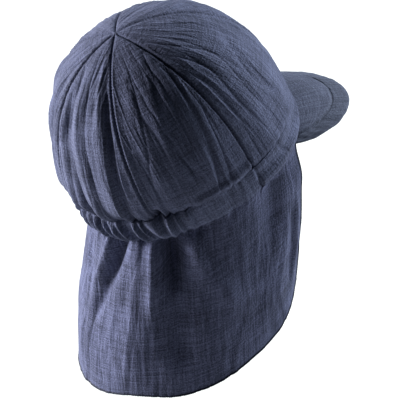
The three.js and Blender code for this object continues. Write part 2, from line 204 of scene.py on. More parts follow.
def length(name, description, default):
    return FloatProperty(
        name=name, description=description, default=default, precision=4, unit="LENGTH", subtype="DISTANCE"
    )


def degrees(name, description, default):
    return FloatProperty(
        name=name, description=description, default=math.radians(default), unit="ROTATION", subtype="ANGLE"
    )


def share(name, description, default):
    return FloatProperty(name=name, description=description, default=default, subtype="FACTOR")


def colour(name, description, default):
    return FloatVectorProperty(
        name=name, description=description, default=default, size=3, min=0, max=1, subtype="COLOR"
    )


class CapCrownSizes(PropertyGroup):
    """Head opening and crown"""

    rim_front: length("Rim to front", "Centre of the head opening to the front of the rim", 0.088)
    rim_back: length("Rim to back", "Centre of the opening to the back of the crown's foot", 0.088)
    rim_side: length("Rim to side", "Centre of the opening to either side", 0.0764)
    tilt: degrees("Tilt", "How far the opening leans back, front edge up", 24.5)
    corner_push: length("Corner push", "How far the rim's front corners stand out from an ellipse", 0.0015)
    height: length("Height", "Plane of the opening to the top", 0.1268)
    brow_draw: length("Brow draw", "How far the foot is drawn in over the brow", 0.0030)
    brow_reach: length("Brow reach", "Height over which that fades", 0.055)
    apex_setback: length("Apex setback", "How far the top lies behind the centre", 0.0016)
    apex_radius: length("Apex radius", "Small round where the six points meet", 0.0004)
    cloth: length("Cloth", "Two layers of muslin and the air between them", 0.0014)
    seam_gap: length("Seam gap", "Clearance between pieces that are sewn together", 0.00036)
    seam_front: degrees("Front seam", "Seam before the ear", 71)
    seam_back: degrees("Back seam", "Seam behind the ear", 123)
    plan_roundness: share("Plan roundness", "Exponent of the plan as it closes to the top", 1.826)
    wall_steepness: share("Wall steepness", "Exponent of the height; above 2 is steeper", 2.668)
    full_front: share("Front fullness", "Extra reach of the shoulder in front", 0.045)
    full_back: share("Back fullness", "Extra reach of the shoulder behind", -0.033)
    full_side: share("Side fullness", "Extra reach of the shoulder over the ears", 0.092)
    gore_puff: length("Gore puff", "How far a gore's middle stands out from its seams", 0.0008)
    seam_sink: length("Seam sink", "Depth of the groove along a seam", 0.0005)
    seam_groove: length("Seam groove", "Half width of that groove", 0.0024)
    seam_line: length("Seam line", "Depth of the needle line in that groove", 0.0011)
    seam_ridge: length("Seam ridge", "How far the seam behind the ear stands up", 0.0013)
    pucker: length("Pucker", "Height of the puckers beside a seam", 0.0003)
    stitch: length("Stitch", "Spacing of the needle's holes", 0.0030)
    balloon: length("Back balloon", "How far the gathered back balloons out", 0.0014)
    balloon_level: length("Balloon level", "Height of the middle of that bulge", 0.038)
    balloon_reach: length("Balloon reach", "How far it spreads up and down", 0.026)
    fold_rise: length("Fold rise", "Height of the strongest lengthwise fold", 0.0026)
    crease: length("Crease", "Depth of the sharpest narrow crease", 0.0012)
    sway: degrees("Sway", "How far folds wander from their line", math.degrees(0.011))
    unevenness: share("Unevenness", "How much their height varies along them", 0.35)
    crinkle: length("Crinkle", "Height of the muslin's crinkles", 0.0007)
    wrinkle: length("Wrinkle", "Depth of the wrinkles across the grain", 0.0004)
    gather: length("Gather", "Height of the pleats where they run up from the casing", 0.0036)
    welt_front: length("Front welt", "Height of the roll over the front band", 0.0008)
    welt_side: length("Side welt", "The same over the smooth part of the casing", 0.0019)
    fineness: IntProperty(name="Fineness", description="Rows and columns of a gore", default=168, min=12)


class CapBandSizes(PropertyGroup):
    """Front band and gathered casing"""

    height: length("Height", "Height of both bands", 0.020)
    front_wall: length("Front wall", "Thickness of the front band", 0.0024)
    front_proud: length("Front proud", "How far the front band stands out from the crown", 0.0006)
    casing_wall: length("Casing wall", "Thickness of the gathered casing", 0.003)
    casing_proud: length("Casing proud", "How far the casing stands out from the crown", 0.0007)
    casing_bulge: length("Casing bulge", "Swell of the casing at half its height", 0.0040)
    casing_draw: length("Casing draw", "How far the elastic draws the back in", 0.0065)
    draw_reach: length("Draw reach", "Height over which the crown widens again", 0.036)
    pleat_rise: length("Pleat rise", "Height of the highest pleat", 0.0046)
    tuck_in: length("Tuck in", "How far the crown's foot reaches down inside the bands", 0.003)
    waist: length("Waist", "How far the casing's upper stitches are drawn in at the back", 0.0030)
    tuck: length("Tuck", "Depth of the deepest tucks along the upper stitches", 0.0042)
    waist_reach: length("Waist reach", "Height over which that spreads", 0.009)
    rib: length("Rib", "Height of the ribs in the smooth part of the casing", 0.0008)
    end_groove: length("End groove", "Depth of the seam that joins front band and casing", 0.0009)
    pinch: length("Pinch", "Depth of the stitched lines above and below the elastic", 0.0011)
    gather_reach: length("Gather reach", "Way over which the pleats fade in crown and flap", 0.016)
    gather_start: degrees("Gather start", "Where the gathers begin, from the front", 92)
    gather_full: degrees("Gather full", "Where they have their full depth", 112)


class CapPeakSizes(PropertyGroup):
    """Peak"""

    length: length("Length", "Rim to tip, along the peak", 0.0452)
    angle: degrees("Half angle", "Front to each corner of the peak", 40.5)
    droop: degrees("Droop", "Slope below the plane of the opening at the middle", 29.5)
    curl: degrees("Curl", "More slope at the corners", 3)
    wall: length("Wall", "Thickness of the raised middle", 0.0028)
    edge_wall: length("Edge wall", "Thickness of the border", 0.002)
    border: length("Border", "Width of the border outside the stitched line", 0.0135)
    step: length("Step", "Width of the step down at the stitched line", 0.0015)
    fan: share("Fan", "1 spreads square to the rim, 0 points straight ahead", 0.37)
    arch: length("Arch", "How far the middle bows up along its length", 0.0025)
    bluntness: share("Bluntness", "Exponent of the outline at the tip", 1.95)
    shoulder: share("Shoulder", "Exponent of the outline at the corners", 1.25)
    pucker: length("Pucker", "Height of the puckers square to the edge", 0.0005)


class CapFlapSizes(PropertyGroup):
    """Neck flap and its hem"""

    length: length("Length", "Rim to hem", 0.144)
    corner: length("Corner", "Radius of the two lower corners", 0.038)
    spread: length("Spread", "How much further forward each edge reaches at the hem", 0.012)
    short_back: share("Short back", "Share of its length by which the flap is shorter behind", 0.047)
    inset: length("Inset", "How far the flap hangs inside the band's face", 0.0005)
    fold: length("Fold", "Height of the strongest fold", 0.0042)
    flare_back: length("Back flare", "How far the hem stands out behind", 0.012)
    flare_front: length("Front flare", "How far the front edges stand out", 0.0045)
    fold_start: length("Fold start", "Drop over which folds grow from the sewn edge", 0.006)
    crease: length("Crease", "Depth of the sharpest narrow crease", 0.0009)
    crinkle: length("Crinkle", "Height of the muslin's crinkles", 0.0005)
    gather: length("Gather", "Height of the pleats where they run down from the casing", 0.0026)
    cut_width: length("Cut width", "Width of the flat cut", 0.44)
    cut_length: length("Cut length", "Length of the flat cut", 0.150)
    hem_width: length("Hem width", "Width of the rolled hem", 0.0024)
    hem_wall: length("Hem wall", "Thickness of the rolled hem", 0.0028)
    hem_pitch: length("Hem pitch", "Spacing of the overlock threads", 0.0014)


class CapColours(PropertyGroup):
    """Colours of cloth and thread; the casing's muslin is set lighter than the rest as painted light"""

    crown: colour("Crown", "Muslin of the crown", (0.068, 0.076, 0.130))
    band: colour("Front band", "Muslin of the band over the forehead", (0.066, 0.074, 0.126))
    casing: colour("Casing", "Muslin of the gathered casing", (0.083, 0.093, 0.156))
    # Painted light: the casing's colour is the muslin set lighter than the crown's, so that its shaded
    # pleats read brighter
    peak: colour("Peak middle", "Muslin over the peak's raised middle", (0.088, 0.098, 0.152))
    peak_border: colour("Peak border", "Muslin of the peak's border", (0.073, 0.082, 0.124))
    flap: colour("Flap", "Muslin of the flap", (0.066, 0.073, 0.130))
    thread: colour("Thread", "Overlock thread of the hem", (0.007, 0.009, 0.024))
    stitching: colour("Stitching", "Topstitching thread", (0.070, 0.077, 0.125))


class CapStage(PropertyGroup):
    """Camera, floor and lights"""

    azimuth: degrees("Azimuth", "Direction of the view; 0 looks along +Y", 247)
    elevation: degrees("Elevation", "Height of the view above level", 32.8)
    distance: length("Distance", "Camera to the head opening", 1.4955)
    aim_right: share("Aim right", "Slope of the view to the right of the head opening", 0.0055)
    aim_down: share("Aim down", "Slope of the view below the head opening", 0.0205)
    lens: FloatProperty(name="Lens", description="Focal length", default=186.7, unit="CAMERA")
    floor_drop: length("Floor drop", "Hem to floor", 0.30)


# Forms shared by the pieces


def sizes():
    scene = bpy.context.scene
    return scene.cap_crown, scene.cap_bands, scene.cap_peak, scene.cap_flap


def mix(a, b, t):
    return a + (b - a) * t


def smooth(x, low, high):
    t = np.clip((x - low) / (high - low), 0, 1)
    return t * t * (3 - 2 * t)


def ridge(distance, breadth):
    return np.exp(-((distance / breadth) ** 2))


def backness(angle):
    return (1 - np.cos(angle)) / 2


def side_angle(angle):
    """0 at the front to half a turn at the back, the same on both sides."""
    turned = np.mod(angle, FULL_TURN)
    return np.minimum(turned, FULL_TURN - turned)


def drawn_height(rows, side, along):
    """Sum of a table's folds or creases; side in radians, along as a share of the length."""
    total = np.zeros(np.broadcast(side, along).shape)
    for row in rows:
        breadth = math.radians(row.breadth)
        if isinstance(row, Crease):
            line = 2 * row.start * (along - 0.5) * (along - 1) + 4 * row.middle * along * (1 - along)
            line = np.radians(line + 2 * row.end * along * (along - 0.5))
            profile = np.exp(-np.abs(side - line) / breadth)
        else:
            profile = ridge(side - np.radians(mix(row.start, row.end, along)), breadth)
        fade = CREASE_FADE if isinstance(row, Crease) else FOLD_FADE
        begun = smooth(along, row.low - fade, row.low + fade)
        ended = smooth(along, row.high - fade, row.high + fade)
        total = total + row.rise * profile * begun * (1 - ended)
    return total


def pleat_height(side, up):
    """Sum of the casing's pleats; up is 0 at the rim and 1 at the casing's upper stitches."""
    total = np.zeros(np.broadcast(side, up).shape)
    for pleat in CASING_PLEATS:
        line = np.radians(mix(pleat.rim, pleat.top, up))
        total = total + pleat.rise * ridge(side - line, math.radians(pleat.breadth))
    return total**PLEAT_ROUNDNESS


def lattice_noise(x, y, seed):
    """Smooth random heights, -1 to 1, with one cell to the unit."""
    table = np.random.RandomState(seed).uniform(-1, 1, (128, 128))
    cell_x, cell_y = np.floor(x).astype(int), np.floor(y).astype(int)
    t, s = x - cell_x, y - cell_y
    t, s = t * t * (3 - 2 * t), s * s * (3 - 2 * s)
    a, b = table[cell_x % 128, cell_y % 128], table[(cell_x + 1) % 128, cell_y % 128]
    c, d = table[cell_x % 128, (cell_y + 1) % 128], table[(cell_x + 1) % 128, (cell_y + 1) % 128]
    return mix(mix(a, b, t), mix(c, d, t), s)


def crinkles(across, along, seed):
    """Muslin's crinkles, about -1 to 1: ridges and creases along the grain and a few folds across it.

    Each noise has its cell in metres, across and along the grain.
    """
    drift = 0.9 * lattice_noise(across / 0.035, along / 0.05, seed)
    soft = lattice_noise(across / 0.0058 + drift, along / 0.055, seed + 1)
    crest = 1 - 3.2 * np.abs(lattice_noise(across / 0.0080 + drift, along / 0.075, seed + 2))
    crease = 1 - 3.6 * np.abs(lattice_noise(across / 0.0100 + drift, along / 0.065, seed + 3))
    fine = lattice_noise(across / 0.0026 + 2 * drift, along / 0.014, seed + 5)
    patch = smooth(lattice_noise(across / 0.022, along / 0.022, seed + 6), 0.15, 0.7)
    cross = patch * lattice_noise(across / 0.016, along / 0.0036, seed + 4)
    sharp = 0.6 * np.maximum(crest, 0) ** 1.3 - 0.7 * np.maximum(crease, 0) ** 1.3
    return 0.45 * soft + sharp + 0.22 * fine + 0.3 * cross


def lowest_near(height, reach):
    """Lowest value of a grid within so many cells, so that a coarse lining stays under its face."""
    for axis in (0, 1):
        padded = np.pad(height, [(reach, reach) if k == axis else (0, 0) for k in (0, 1)], mode="edge")
        size = height.shape[axis]
        shifted = [padded.take(range(k, k + size), axis=axis) for k in range(2 * reach + 1)]
        height = np.minimum.reduce(shifted)
    return height


def worn(point, tilt):
    """Turns points given square to the head opening into the worn position."""
    y = point[..., 1] * math.cos(tilt) + point[..., 2] * math.sin(tilt)
    z = point[..., 2] * math.cos(tilt) - point[..., 1] * math.sin(tilt)
    return np.stack([point[..., 0], y, z], axis=-1)


def unit(vectors):
    return vectors / np.maximum(np.linalg.norm(vectors, axis=-1, keepdims=True), 1e-12)


def outward(angle):
    """Outward direction in the plane of the head opening."""
    crown = sizes()[0]
    depth = mix(crown.rim_front, crown.rim_back, backness(angle))
    return unit(np.stack([-np.sin(angle) / crown.rim_side, -np.cos(angle) / depth, 0 * angle], axis=-1))


def mean_rim():
    """Mean radius of the head opening."""
    crown = sizes()[0]
    return (crown.rim_front + crown.rim_back + 2 * crown.rim_side) / 4


def seam_angles():
    """Middle front seam, seam before the ear, seam behind the ear and middle back seam."""
    crown = sizes()[0]
    return 0.0, crown.seam_front, crown.seam_back, HALF_TURN


def waist(angle, height):
    """How far the elastic draws the cloth in along the casing's upper stitches."""
    band = sizes()[1]
    return band.waist * backness(angle) ** 2 * ridge(height - band.height, band.waist_reach)


def tuck_depth(side, height):
    """How far the stitches pull the cloth in at the tucks above the casing."""
    band = sizes()[1]
    places = sum(ridge(side - math.radians(place), math.radians(TUCK_BREADTH)) for place in TUCKS)
    return band.tuck * places * ridge(height - band.height - 0.003, 0.0055)


def climb_at(height):
    crown = sizes()[0]
    return np.arcsin(np.clip(height / crown.height, 0, 1) ** (crown.wall_steepness / 2))


def crown_form(angle, climb):
    """Smooth form of the crown; climb runs from 0 at the rim to a quarter turn on top."""
    crown, band, _, _ = sizes()
    angle, climb = np.broadcast_arrays(np.asarray(angle, float), np.asarray(climb, float))
    back = backness(angle)
    fullness = mix(crown.full_front, crown.full_back, back) + crown.full_side * np.sin(angle) ** 2
    reach = np.maximum(np.cos(climb), 0) ** (2 / crown.plan_roundness) * (1 + fullness * np.sin(2 * climb))
    height = crown.height * np.maximum(np.sin(climb), 0) ** (2 / crown.wall_steepness)
    depth = mix(crown.rim_front, crown.rim_back, back)
    up = height / crown.height
    corner = crown.corner_push * np.maximum(np.sin(2 * side_angle(angle)), 0) ** 2 * (1 - up) ** 2
    drawn = band.casing_draw * back**2 * (1 - smooth(height, 0, band.draw_reach))
    balloon = crown.balloon * back**2 * ridge(height - crown.balloon_level, crown.balloon_reach)
    brow = crown.brow_draw * np.maximum(np.cos(angle), 0) ** 4 * (1 - smooth(height, 0, crown.brow_reach))
    push = corner * (1 - back) - drawn + balloon - brow
    x = -crown.rim_side * np.sin(angle) * reach
    y = -depth * np.cos(angle) * reach + crown.apex_setback * up
    return np.stack([x, y, height], axis=-1) + outward(angle) * push[..., None]


def crown_normal(angle, climb):
    band = sizes()[1]
    step = 1e-3
    round_it = crown_form(angle + step, climb) - crown_form(angle - step, climb)
    rise = crown_form(angle, climb + step) - crown_form(angle, np.maximum(climb - step, step))
    normal = unit(np.cross(rise, round_it))
    normal[..., 2] *= smooth(crown_form(angle, climb)[..., 2], band.height, 2 * band.height)
    return unit(normal)


# Meshes


LINING_STEP = 3


def sheet_mesh(name, outer, inner, uv):
    """Closed solid between a fine outer grid of points and every third point of an inner one."""
    rows, columns = outer.shape[:2]
    inner = inner[::LINING_STEP, ::LINING_STEP]
    fine = np.arange(rows * columns).reshape(rows, columns)
    coarse = rows * columns + np.arange(inner.shape[0] * inner.shape[1]).reshape(inner.shape[:2])
    rim, lining = border_loop(fine), border_loop(coarse)
    rim = np.append(rim, rim[0])
    walls = [rim[LINING_STEP - k :: LINING_STEP][: len(lining)] for k in range(LINING_STEP + 1)]
    walls = np.stack([*walls, lining, np.roll(lining, -1)], -1)
    points = np.concatenate([outer.reshape(-1, 3), inner.reshape(-1, 3)])
    coordinates = [uv.reshape(-1, 2), uv[::LINING_STEP, ::LINING_STEP].reshape(-1, 2)]
    faces = [grid_quads(fine), grid_quads(coarse)[:, ::-1], walls]
    return mesh_object(name, points, faces, np.concatenate(coordinates))


def grid_quads(index):
    return np.stack([index[:-1, :-1], index[:-1, 1:], index[1:, 1:], index[1:, :-1]], -1).reshape(-1, 4)


def border_loop(index):
    return np.concatenate([index[0, :-1], index[:-1, -1], index[-1, :0:-1], index[:0:-1, 0]])


def signed_volume(points, faces):
    total = 0.0
    for group in faces:
        first = points[group[:, 0]]
        for k in range(1, group.shape[1] - 1):
            total += (first * np.cross(points[group[:, k]], points[group[:, k + 1]])).sum()
    return total


def mesh_object(name, points, faces, uv):
    """Smooth-shaded object from groups of faces, turned outwards, with cloth coordinates for each point."""
    if signed_volume(points, faces) < 0:
        faces = [group[:, ::-1] for group in faces]
    mesh = bpy.data.meshes.new(name)
    mesh.from_pydata(points.tolist(), [], [face for group in faces for face in group.tolist()])
    corners = np.empty(len(mesh.loops), int)
    mesh.loops.foreach_get("vertex_index", corners)
    layer = mesh.uv_layers.new(name=CLOTH_UV)
    layer.data.foreach_set("uv", uv[corners].ravel())
    mesh.shade_smooth()
    mesh.set_sharp_from_angle(angle=math.radians(60))
    mesh.update()
    piece = bpy.data.objects.new(name, mesh)
    bpy.context.scene.collection.objects.link(piece)
    return piece


def finish_piece(piece, material, slot, *replaced):
    piece.data.materials.append(material)
    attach(piece, BODY)
    if replaced:
        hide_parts(*replaced)
    return piece


def stitch_mesh(name, paths, stitch, gap, radius):
    """Rows of short stitches; each path is its points and the surface's outward direction there."""
    sides, rings = 6, 5
    turn = np.arange(sides) * FULL_TURN / sides
    bow = np.sin(np.linspace(0, HALF_TURN, rings))
    index = np.arange(rings * sides).reshape(rings, sides)
    after = np.roll(index, -1, axis=1)
    body = np.stack([index[:-1], after[:-1], after[1:], index[1:]], -1).reshape(-1, 4)
    caps = np.stack([index[0, ::-1], index[-1]])
    points, quads, ends = [], [], []
    for path, out in paths:
        run = np.concatenate([[0], np.cumsum(np.linalg.norm(np.diff(path, axis=0), axis=1))])
        for start in np.arange(gap / 2, run[-1] - stitch, stitch + gap):
            at = start + stitch * np.linspace(0, 1, rings)
            centre = np.stack([np.interp(at, run, path[:, k]) for k in range(3)], -1)
            up = unit(np.stack([np.interp(at, run, out[:, k]) for k in range(3)], -1))
            side = unit(np.cross(up, centre[-1] - centre[0]))
            centre = centre + up * (radius * (1.2 * bow - 0.6))[:, None]
            around = np.cos(turn)[None, :, None] * side[:, None] + np.sin(turn)[None, :, None] * up[:, None]
            base = len(points) * rings * sides
            tube = centre[:, None] + around * (radius * (0.4 + 0.6 * bow))[:, None, None]
            points.append(tube.reshape(-1, 3))
            quads.append(body + base)
            ends.append(caps + base)
    points = np.concatenate(points)
    faces = [np.concatenate(quads), np.concatenate(ends)]
    return mesh_object(name, points, faces, points[:, :2])


# Materials


class Shader:
    """Small helper that adds and links the nodes of one material."""

    def __init__(self, name, roughness, sheen):
        self.material = bpy.data.materials.new(name)
        self.material.use_nodes = True
        self.tree = self.material.node_tree
        self.surface = self.tree.nodes["Principled BSDF"]
        self.surface.inputs["Roughness"].default_value = roughness
        self.surface.inputs["Sheen Weight"].default_value = sheen
        self.surface.inputs["Sheen Roughness"].default_value = 0.6
        self.surface.inputs["Sheen Tint"].default_value = (0.60, 0.66, 1.0, 1.0)
        self.surface.inputs["Specular IOR Level"].default_value = 0.1
        where = self.add("ShaderNodeUVMap")
        where.uv_map = CLOTH_UV
        self.cloth = where.outputs["UV"]

    def add(self, kind, **values):
        node = self.tree.nodes.new(kind)
        for key, value in values.items():
            node.inputs[key.replace("_", " ")].default_value = value
        return node

    def link(self, out, into):
        self.tree.links.new(out, into)
        return into.node

    def noise(self, scale, detail, roughness, seed):
        """Noise on cloth coordinates; scale is cells per metre across and along the grain."""
        mapping = self.add("ShaderNodeMapping")
        mapping.inputs["Scale"].default_value = (scale[0], scale[1], 1)
        mapping.inputs["Location"].default_value = (seed, 3.1 * seed, 0)
        self.link(self.cloth, mapping.inputs["Vector"])
        noise = self.add("ShaderNodeTexNoise", Scale=1.0, Detail=detail, Roughness=roughness)
        self.link(mapping.outputs["Vector"], noise.inputs["Vector"])
        return noise.outputs["Fac"]

    def math(self, operation, a, b):
        node = self.add("ShaderNodeMath")
        node.operation = operation
        for socket, value in zip(node.inputs, (a, b)):
            if isinstance(value, (int, float)):
                socket.default_value = value
            else:
                self.link(value, socket)
        return node.outputs["Value"]

    def ramp(self, factor, stops):
        node = self.add("ShaderNodeValToRGB")
        first, last = node.color_ramp.elements
        first.position, first.color = stops[0][0], (*stops[0][1], 1)
        last.position, last.color = stops[-1][0], (*stops[-1][1], 1)
        for place, tone in stops[1:-1]:
            node.color_ramp.elements.new(place).color = (*tone, 1)
        self.link(factor, node.inputs["Fac"])
        return node.outputs["Color"]

    def bump(self, height, distance, below=None):
        node = self.add("ShaderNodeBump", Strength=1.0, Distance=distance)
        self.link(height, node.inputs["Height"])
        if below is not None:
            self.link(below, node.inputs["Normal"])
        return node.outputs["Normal"]


def tinted(base, factor):
    return tuple(min(1.0, channel * factor) for channel in base)


def muslin(name, base, slub, seed):
    """Double muslin: slubby threads both ways, crinkles along the grain, a soft nap. slub is 0 to 1."""
    cloth = Shader(name, 0.95, 0.03)
    warp = cloth.noise((640, 40), 2, 0.6, seed)
    weft = cloth.noise((40, 640), 2, 0.6, seed + 1.7)
    dots = cloth.noise((900, 900), 1, 0.5, seed + 3.1)
    rows = cloth.math("ADD", cloth.math("MULTIPLY", warp, 0.5), cloth.math("MULTIPLY", weft, 0.5))
    threads = cloth.math("ADD", cloth.math("MULTIPLY", rows, 0.62), cloth.math("MULTIPLY", dots, 0.38))
    patches = cloth.noise((38, 30), 2, 0.5, seed + 4.2)
    tone = cloth.math("ADD", threads, cloth.math("MULTIPLY", cloth.math("SUBTRACT", patches, 0.5), 0.2))
    spread = 0.38 + 0.25 * slub
    stops = [
        (0.38, tinted(base, 1 - spread)),
        (0.50, base),
        (0.62, tinted(base, 1 + 1.4 * spread)),
    ]
    cloth.link(cloth.ramp(tone, stops), cloth.surface.inputs["Base Color"])
    weave = cloth.bump(threads, (1.2 + 0.6 * slub) * MM)
    cloth.link(weave, cloth.surface.inputs["Normal"])
    return cloth.material


def thread(name, base):
    """Twisted sewing thread: fine slanted plies and a little gloss."""
    twist = Shader(name, 0.62, 0.1)
    plies = twist.noise((2600, 2600), 2, 0.5, 1.0)
    stops = [(0.35, tinted(base, 0.6)), (0.65, tinted(base, 1.5))]
    twist.link(twist.ramp(plies, stops), twist.surface.inputs["Base Color"])
    twist.link(twist.bump(plies, 0.2 * MM), twist.surface.inputs["Normal"])
    return twist.material


# Crown


# Seeds of the front, side and back gore's crinkles, and what the left gores add to them
GORE_SEEDS = (40, 60, 80)
LEFT_SEED = 100


def gore_middle(side):
    """Middle line of the gore that an angle lies in."""
    seams = seam_angles()
    front, over_ear, back = [(low + high) / 2 for low, high in zip(seams, seams[1:])]
    return np.select([side < seams[1], side < seams[2]], [front, over_ear], back)


def openness(radius):
    """0 near the top, where the six points meet, to 1 where the crown is wide enough for folds."""
    return smooth(radius, 0.06 * mean_rim(), 0.52 * mean_rim())


def crown_lines(side, up, rise, open_crown, beside, seed):
    """Folds and creases, which sway a little and vary in depth along their length."""
    crown = sizes()[0]
    swayed = side + crown.sway * lattice_noise(rise / 0.013, side * 3, seed + 21) * smooth(side, 0.5, 1.2)
    uneven = 1 + crown.unevenness * lattice_noise(rise / 0.019, side * 8, seed + 22)
    folds = crown.fold_rise * drawn_height(CROWN_FOLDS, swayed, up) * open_crown
    front = 0.5 * smooth(up, 0.25, 0.6)
    behind = mix(1.4, 0.7, smooth(up, 0.4, 0.75))
    sharpness = open_crown**0.5 * mix(front, behind, smooth(side, 1.0, 1.3))
    sharpness = sharpness * (1 - 0.75 * ridge(beside, 0.0035))
    return (folds + crown.crease * drawn_height(CROWN_CREASES, swayed, up) * sharpness) * uneven


def crown_crinkles(side, up, rise, radius, calm, seed):
    """Crinkles along the grain, calmer over the brow, and two patches of wrinkles across it."""
    crown = sizes()[0]
    grain = (side - gore_middle(side)) * radius**0.65 * mean_rim() ** 0.35
    quiet = 1 - 0.1 * ridge(side - math.radians(97), 0.45)
    quiet = quiet * (1 - 0.6 * ridge(side - 0.6, 0.5) * (1 - smooth(up, 0.2, 0.6)))
    height = up * crown.height
    wrinkled = ridge(side - math.radians(104), 0.26) * ridge(height - 0.112, 0.009)
    wrinkled = wrinkled + ridge(side - math.radians(76), 0.08) * ridge(height - 0.066, 0.014)
    across_lines = lattice_noise(grain / 0.016, rise / 0.0042, seed + 9)
    wrinkles = crown.wrinkle * wrinkled * np.maximum(1 - 4 * np.abs(across_lines), 0)
    along = crown.crinkle * crinkles(grain, rise, seed) * quiet * (0.5 + 0.5 * openness(radius))
    return (along - wrinkles) * calm


def crown_foot(angle, side, height):
    """Pleats that run up from the casing, a welt over the smooth bands, and the drawn-in stitches."""
    crown, band, _, _ = sizes()
    above = height - band.height
    gathered = smooth(side, band.gather_start, band.gather_full)
    pulled = np.exp(-np.maximum(above, 0) / band.gather_reach)
    relief = crown.gather * pulled * gathered * (pleat_height(side, 1 + 0 * height) - PLEAT_MIDDLE)
    relief = relief - band.pinch * ridge(above, 0.003) * (0.06 + 0.94 * gathered)
    behind = smooth(side, crown.seam_front - 0.05, crown.seam_front + 0.05)
    welt = mix(crown.welt_front, crown.welt_side, behind) * ridge(above - 0.0045, 0.003)
    welt = welt - 0.0006 * behind * ridge(above - 0.0105, 0.0022)
    return relief + welt * (1 - gathered) - waist(angle, height) - tuck_depth(side, height)


def crown_relief(angle, climb, height, seed):
    """Folds, puffed gores, sunk seams, gathers and crinkles, as a height over the smooth form."""
    crown = sizes()[0]
    up = height / crown.height
    side = side_angle(angle)
    rim = mean_rim()
    radius = rim * np.sqrt(np.maximum(1 - up**2, 0))
    open_crown = openness(radius)
    rise = climb * crown.height
    seams = seam_angles()
    beside = np.min([np.abs(side - seam) * radius for seam in seams], axis=0)
    relief = crown_lines(side, up, rise, open_crown, beside, seed)
    for low, high in zip(seams, seams[1:]):
        across = np.clip((side - low) / (high - low), 0, 1)
        relief = relief + crown.gore_puff * np.sin(HALF_TURN * across) * smooth(radius, 0, rim)
    relief = relief + crown_crinkles(side, up, rise, radius, 1 - ridge(beside, 0.0022), seed)
    relief = relief + crown_foot(angle, side, height)
    seam_back = np.abs(side - crown.seam_back) * radius
    relief = relief + crown.seam_ridge * ridge(seam_back, 0.0026) * open_crown
    puckers = lattice_noise(rise / 0.0032, side * 4, seed + 17) * ridge(beside - 0.0026, 0.0018)
    relief = (relief + crown.pucker * puckers) * smooth(radius, 0, rim / 5)
    holes = 0.75 + 0.25 * np.cos(rise * FULL_TURN / crown.stitch)
    needle = crown.seam_line * (0.3 + 0.7 * smooth(side, 0.3, 0.8)) * (1 + 1.1 * open_crown)
    sunk = crown.seam_sink * ridge(beside, crown.seam_groove) + needle * holes * ridge(beside, 0.0008)
    return relief - sunk * smooth(radius, 0.0008, 0.004)


def crown_point(angle, climb, relief):
    point = crown_form(angle, climb) + crown_normal(angle, climb) * relief[..., None]
    return worn(point, sizes()[0].tilt)


def make_gore(place, start, end, seed, material):
    crown, band, _, _ = sizes()
    foot = climb_at(band.height - band.tuck_in)
    top = math.acos((crown.apex_radius / mean_rim()) ** (crown.plan_roundness / 2))
    climb = np.linspace(foot, top, crown.fineness + 1)[:, None]
    across = np.linspace(0, 1, crown.fineness + 1)[None, :]
    across = across - 0.4 * np.sin(FULL_TURN * across) / FULL_TURN
    angle = mix(start, end, across) + 0 * climb
    climb = climb + 0 * angle
    height = crown_form(angle, climb)[..., 2]
    tucked = 1 - smooth(height, band.height - band.tuck_in, band.height + 0.0006)
    relief = crown_relief(angle, climb, height, seed)
    cover = np.where(side_angle(angle) < crown.seam_front, -0.0004, casing_relief(angle, 1.0)) - 0.0008
    relief = mix(relief, np.minimum(relief, cover), tucked)
    outer = crown_point(angle, climb, relief)
    inner = crown_point(angle, climb, lowest_near(relief, LINING_STEP) - crown.cloth)
    uv = cloth_coordinates(outer)
    gore = sheet_mesh(f"gore_{place}", outer, inner, uv)
    return finish_piece(gore, material, "crown_muslin", f"crown_{place}")


def cloth_coordinates(points):
    """Distances over a grid of points, across from its middle column and along from its first row."""
    across = np.linalg.norm(np.diff(points, axis=1), axis=2)
    along = np.linalg.norm(np.diff(points, axis=0), axis=2)
    u = np.concatenate([np.zeros((len(points), 1)), np.cumsum(across, axis=1)], axis=1)
    u = u - u[:, u.shape[1] // 2][:, None]
    v = np.concatenate([np.zeros((1, points.shape[1])), np.cumsum(along, axis=0)], axis=0)
    return np.stack([u, np.broadcast_to(v.mean(axis=1)[:, None], u.shape)], axis=-1)


class CAP_OT_crown(Operator):
    """Make the six gores of the crown"""

    bl_idname = "cap.crown"
    bl_label = "Crown"

    def execute(self, context):
        cloth = muslin("crown muslin", context.scene.cap_colours.crown, 0.35, 2.0)
        seams = seam_angles()
        for place, low, high, seed in zip(("front", "side", "back"), seams, seams[1:], GORE_SEEDS):
            make_gore(f"{place}_right", low, high, seed, cloth)
            make_gore(f"{place}_left", FULL_TURN - high, FULL_TURN - low, seed + LEFT_SEED, cloth)
        return {"FINISHED"}


class CAP_OT_topstitching(Operator):
    """Make the rows of stitches beside the crown's seams"""

    bl_idname = "cap.topstitching"
    bl_label = "Topstitching"

    def execute(self, context):
        crown, band, _, _ = sizes()
        climb = np.linspace(climb_at(band.height + 0.002), 1.35, 260)
        paths = []
        for turned in (1, -1):
            for i, edge in enumerate(seam_angles()):
                for beside in (-0.0019, 0.0019):
                    radius = np.hypot(*np.moveaxis(crown_form(edge + 0 * climb, climb)[..., :2], -1, 0))
                    side = edge + beside / radius
                    if side[0] < 0 or side[0] > HALF_TURN:
                        continue
                    seed = GORE_SEEDS[max(0, i - 1) if beside < 0 else min(2, i)]
                    seed = seed + (LEFT_SEED if turned < 0 else 0)
                    angle = np.mod(turned * side, FULL_TURN)
                    height = crown_form(angle, climb)[..., 2]
                    path = crown_point(angle, climb, crown_relief(angle, climb, height, seed))
                    paths.append((path, worn(crown_normal(angle, climb), crown.tilt)))
        piece = stitch_mesh("crown_topstitching", paths, 0.0021, 0.0007, 0.00022)
        material = thread("topstitching thread", context.scene.cap_colours.stitching)
        finish_piece(piece, material, "crown_muslin")
        return {"FINISHED"}


# Bands


